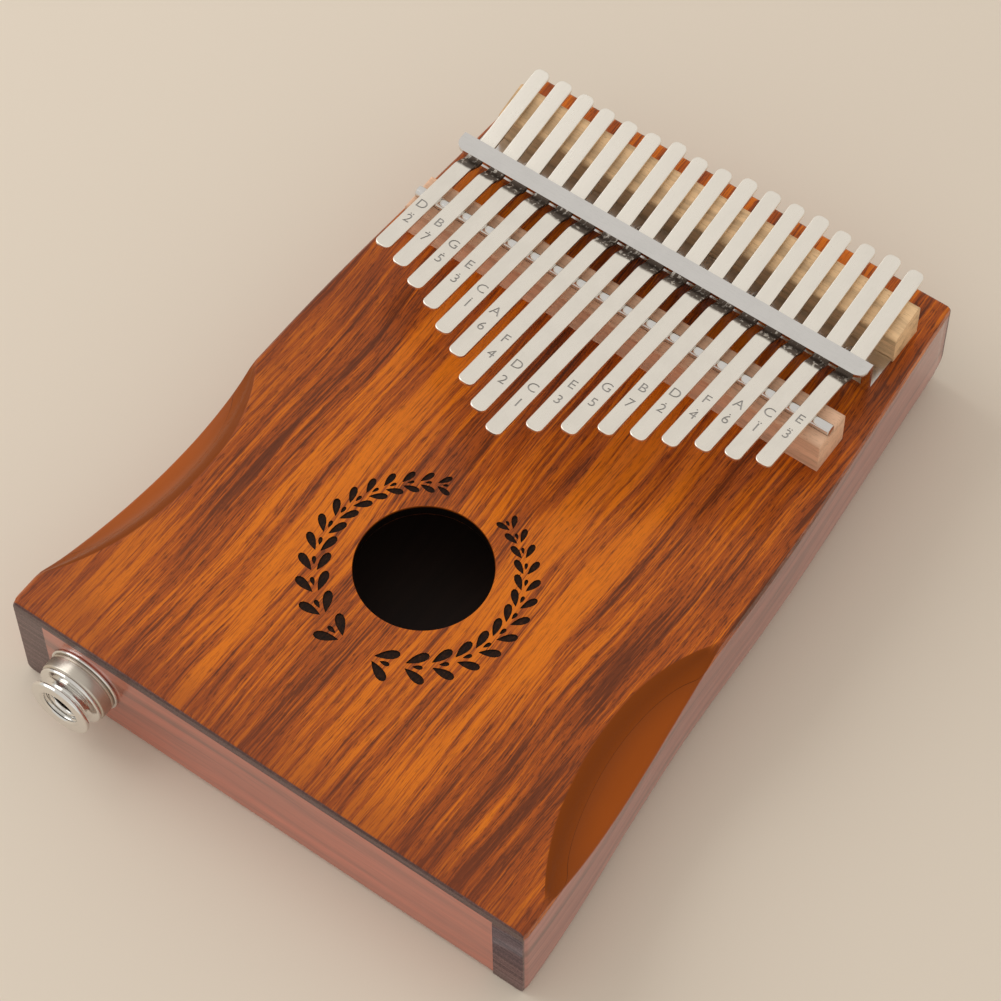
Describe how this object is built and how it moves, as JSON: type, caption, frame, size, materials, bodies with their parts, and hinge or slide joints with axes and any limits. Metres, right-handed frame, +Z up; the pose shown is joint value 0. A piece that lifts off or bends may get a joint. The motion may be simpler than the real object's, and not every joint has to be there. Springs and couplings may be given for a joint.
{
  "type": "mbira",
  "caption": "Box mbira with a waisted wooden sound box, round soundhole, arm scoops, a row of stepped steel tines under a clamp bracket and an end-pin jack.",
  "frame": {"origin": "under the middle of the whole instrument's bounding box, on the surface that the back rests on", "axes": "+Y from the tail end with the jack towards the head end, +X to the right as the player looks at the soundboard with the tail nearest, +Z up out of the soundboard"},
  "size_m": [0.1354, 0.1914, 0.0503],
  "materials": {
    "koa_top": "glossy lacquered figured hardwood, dark streaks along the grain",
    "side_wood": "satin lacquered hardwood, mauve brown",
    "tail_wood": "satin lacquered hardwood, reddish brown",
    "back_wood": "satin lacquered hardwood",
    "front_bridge_wood": "fine sanded pale hardwood",
    "rear_bridge_wood": "fine sanded pale hardwood",
    "inner_wood": "raw sanded softwood",
    "tine_steel": "satin polished spring steel",
    "polished_rod": "polished steel",
    "polished_bracket": "polished nickel plated sheet",
    "screw_steel": "bright zinc plated steel",
    "jack_nickel": "polished nickel plate",
    "satin_nickel": "turned satin nickel plate",
    "black_insulator": "moulded phenolic",
    "contact_bronze": "rolled phosphor bronze",
    "pickup_brass": "rolled brass with a pale ceramic face",
    "lead_jacket": "matte PVC jacket"
  },
  "bodies": {
    "sound_box": {"soundboard": "koa_top", "side_left": "side_wood", "side_right": "side_wood", "tail_panel": "tail_wood", "head_panel": "tail_wood", "back_plate": "back_wood", "front_bridge": "front_bridge_wood", "rear_bridge": "rear_bridge_wood", "screw_block": "inner_wood", "saddle_rod": "polished_rod", "clamp_bracket": "polished_bracket", "bracket_screws": "screw_steel", "jack_barrel": "jack_nickel", "jack_washer": "jack_nickel", "jack_collar_nut": "satin_nickel", "strap_button": "jack_nickel", "jack_star_washer": "screw_steel", "jack_inner_nut": "satin_nickel", "jack_insulator": "black_insulator", "solder_lugs": "contact_bronze", "piezo_disc": "pickup_brass", "pickup_lead": "lead_jacket", "lead_clips": "black_insulator", "tine_root_01": "tine_steel", "tine_root_02": "tine_steel", "tine_root_03": "tine_steel", "tine_root_04": "tine_steel", "tine_root_05": "tine_steel", "tine_root_06": "tine_steel", "tine_root_07": "tine_steel", "tine_root_08": "tine_steel", "tine_root_09": "tine_steel", "tine_root_10": "tine_steel", "tine_root_11": "tine_steel", "tine_root_12": "tine_steel", "tine_root_13": "tine_steel", "tine_root_14": "tine_steel", "tine_root_15": "tine_steel", "tine_root_16": "tine_steel", "tine_root_17": "tine_steel"},
    "tongue_01": {"tine_tongue_01": "tine_steel"},
    "tongue_02": {"tine_tongue_02": "tine_steel"},
    "tongue_03": {"tine_tongue_03": "tine_steel"},
    "tongue_04": {"tine_tongue_04": "tine_steel"},
    "tongue_05": {"tine_tongue_05": "tine_steel"},
    "tongue_06": {"tine_tongue_06": "tine_steel"},
    "tongue_07": {"tine_tongue_07": "tine_steel"},
    "tongue_08": {"tine_tongue_08": "tine_steel"},
    "tongue_09": {"tine_tongue_09": "tine_steel"},
    "tongue_10": {"tine_tongue_10": "tine_steel"},
    "tongue_11": {"tine_tongue_11": "tine_steel"},
    "tongue_12": {"tine_tongue_12": "tine_steel"},
    "tongue_13": {"tine_tongue_13": "tine_steel"},
    "tongue_14": {"tine_tongue_14": "tine_steel"},
    "tongue_15": {"tine_tongue_15": "tine_steel"},
    "tongue_16": {"tine_tongue_16": "tine_steel"},
    "tongue_17": {"tine_tongue_17": "tine_steel"},
    "plug_contact": {"jack_tip_spring": "contact_bronze"}
  },
  "joints": [
    {"name": "pluck_01", "type": "hinge", "parent": "sound_box", "child": "tongue_01", "pos_m": [-0.0513, 0.0446, 0.04259], "axis": [1, 0, 0], "range_deg": [-2.5, 2.5], "stiffness_Nm_per_rad": 10.894},
    {"name": "pluck_02", "type": "hinge", "parent": "sound_box", "child": "tongue_02", "pos_m": [-0.045, 0.0446, 0.04259], "axis": [1, 0, 0], "range_deg": [-2.5, 2.5], "stiffness_Nm_per_rad": 9.798},
    {"name": "pluck_03", "type": "hinge", "parent": "sound_box", "child": "tongue_03", "pos_m": [-0.0387, 0.0446, 0.04259], "axis": [1, 0, 0], "range_deg": [-2.5, 2.5], "stiffness_Nm_per_rad": 8.506},
    {"name": "pluck_04", "type": "hinge", "parent": "sound_box", "child": "tongue_04", "pos_m": [-0.0324, 0.0446, 0.04259], "axis": [1, 0, 0], "range_deg": [-2.5, 2.5], "stiffness_Nm_per_rad": 7.65},
    {"name": "pluck_05", "type": "hinge", "parent": "sound_box", "child": "tongue_05", "pos_m": [-0.0261, 0.0446, 0.04259], "axis": [1, 0, 0], "range_deg": [-2.5, 2.5], "stiffness_Nm_per_rad": 6.642},
    {"name": "pluck_06", "type": "hinge", "parent": "sound_box", "child": "tongue_06", "pos_m": [-0.0198, 0.0446, 0.04259], "axis": [1, 0, 0], "range_deg": [-2.5, 2.5], "stiffness_Nm_per_rad": 5.973},
    {"name": "pluck_07", "type": "hinge", "parent": "sound_box", "child": "tongue_07", "pos_m": [-0.0135, 0.0446, 0.04259], "axis": [1, 0, 0], "range_deg": [-2.5, 2.5], "stiffness_Nm_per_rad": 5.186},
    {"name": "pluck_08", "type": "hinge", "parent": "sound_box", "child": "tongue_08", "pos_m": [-0.0072, 0.0446, 0.04259], "axis": [1, 0, 0], "range_deg": [-2.5, 2.5], "stiffness_Nm_per_rad": 4.664},
    {"name": "pluck_09", "type": "hinge", "parent": "sound_box", "child": "tongue_09", "pos_m": [-0.0009, 0.0446, 0.04259], "axis": [1, 0, 0], "range_deg": [-2.5, 2.5], "stiffness_Nm_per_rad": 4.345},
    {"name": "pluck_10", "type": "hinge", "parent": "sound_box", "child": "tongue_10", "pos_m": [0.0054, 0.0446, 0.04259], "axis": [1, 0, 0], "range_deg": [-2.5, 2.5], "stiffness_Nm_per_rad": 5.006},
    {"name": "pluck_11", "type": "hinge", "parent": "sound_box", "child": "tongue_11", "pos_m": [0.0117, 0.0446, 0.04259], "axis": [1, 0, 0], "range_deg": [-2.5, 2.5], "stiffness_Nm_per_rad": 5.566},
    {"name": "pluck_12", "type": "hinge", "parent": "sound_box", "child": "tongue_12", "pos_m": [0.018, 0.0446, 0.04259], "axis": [1, 0, 0], "range_deg": [-2.5, 2.5], "stiffness_Nm_per_rad": 6.411},
    {"name": "pluck_13", "type": "hinge", "parent": "sound_box", "child": "tongue_13", "pos_m": [0.0243, 0.0446, 0.04259], "axis": [1, 0, 0], "range_deg": [-2.5, 2.5], "stiffness_Nm_per_rad": 7.128},
    {"name": "pluck_14", "type": "hinge", "parent": "sound_box", "child": "tongue_14", "pos_m": [0.0306, 0.0446, 0.04259], "axis": [1, 0, 0], "range_deg": [-2.5, 2.5], "stiffness_Nm_per_rad": 7.926},
    {"name": "pluck_15", "type": "hinge", "parent": "sound_box", "child": "tongue_15", "pos_m": [0.0369, 0.0446, 0.04259], "axis": [1, 0, 0], "range_deg": [-2.5, 2.5], "stiffness_Nm_per_rad": 9.129},
    {"name": "pluck_16", "type": "hinge", "parent": "sound_box", "child": "tongue_16", "pos_m": [0.0432, 0.0446, 0.04259], "axis": [1, 0, 0], "range_deg": [-2.5, 2.5], "stiffness_Nm_per_rad": 10.151},
    {"name": "pluck_17", "type": "hinge", "parent": "sound_box", "child": "tongue_17", "pos_m": [0.0495, 0.0446, 0.04259], "axis": [1, 0, 0], "range_deg": [-2.5, 2.5], "stiffness_Nm_per_rad": 11.693},
    {"name": "contact_flex", "type": "hinge", "parent": "sound_box", "child": "plug_contact", "pos_m": [-0.049, -0.0652, 0.0199], "axis": [1, 0, 0], "range_deg": [0, 4], "stiffness_Nm_per_rad": 0.5}
  ]
}
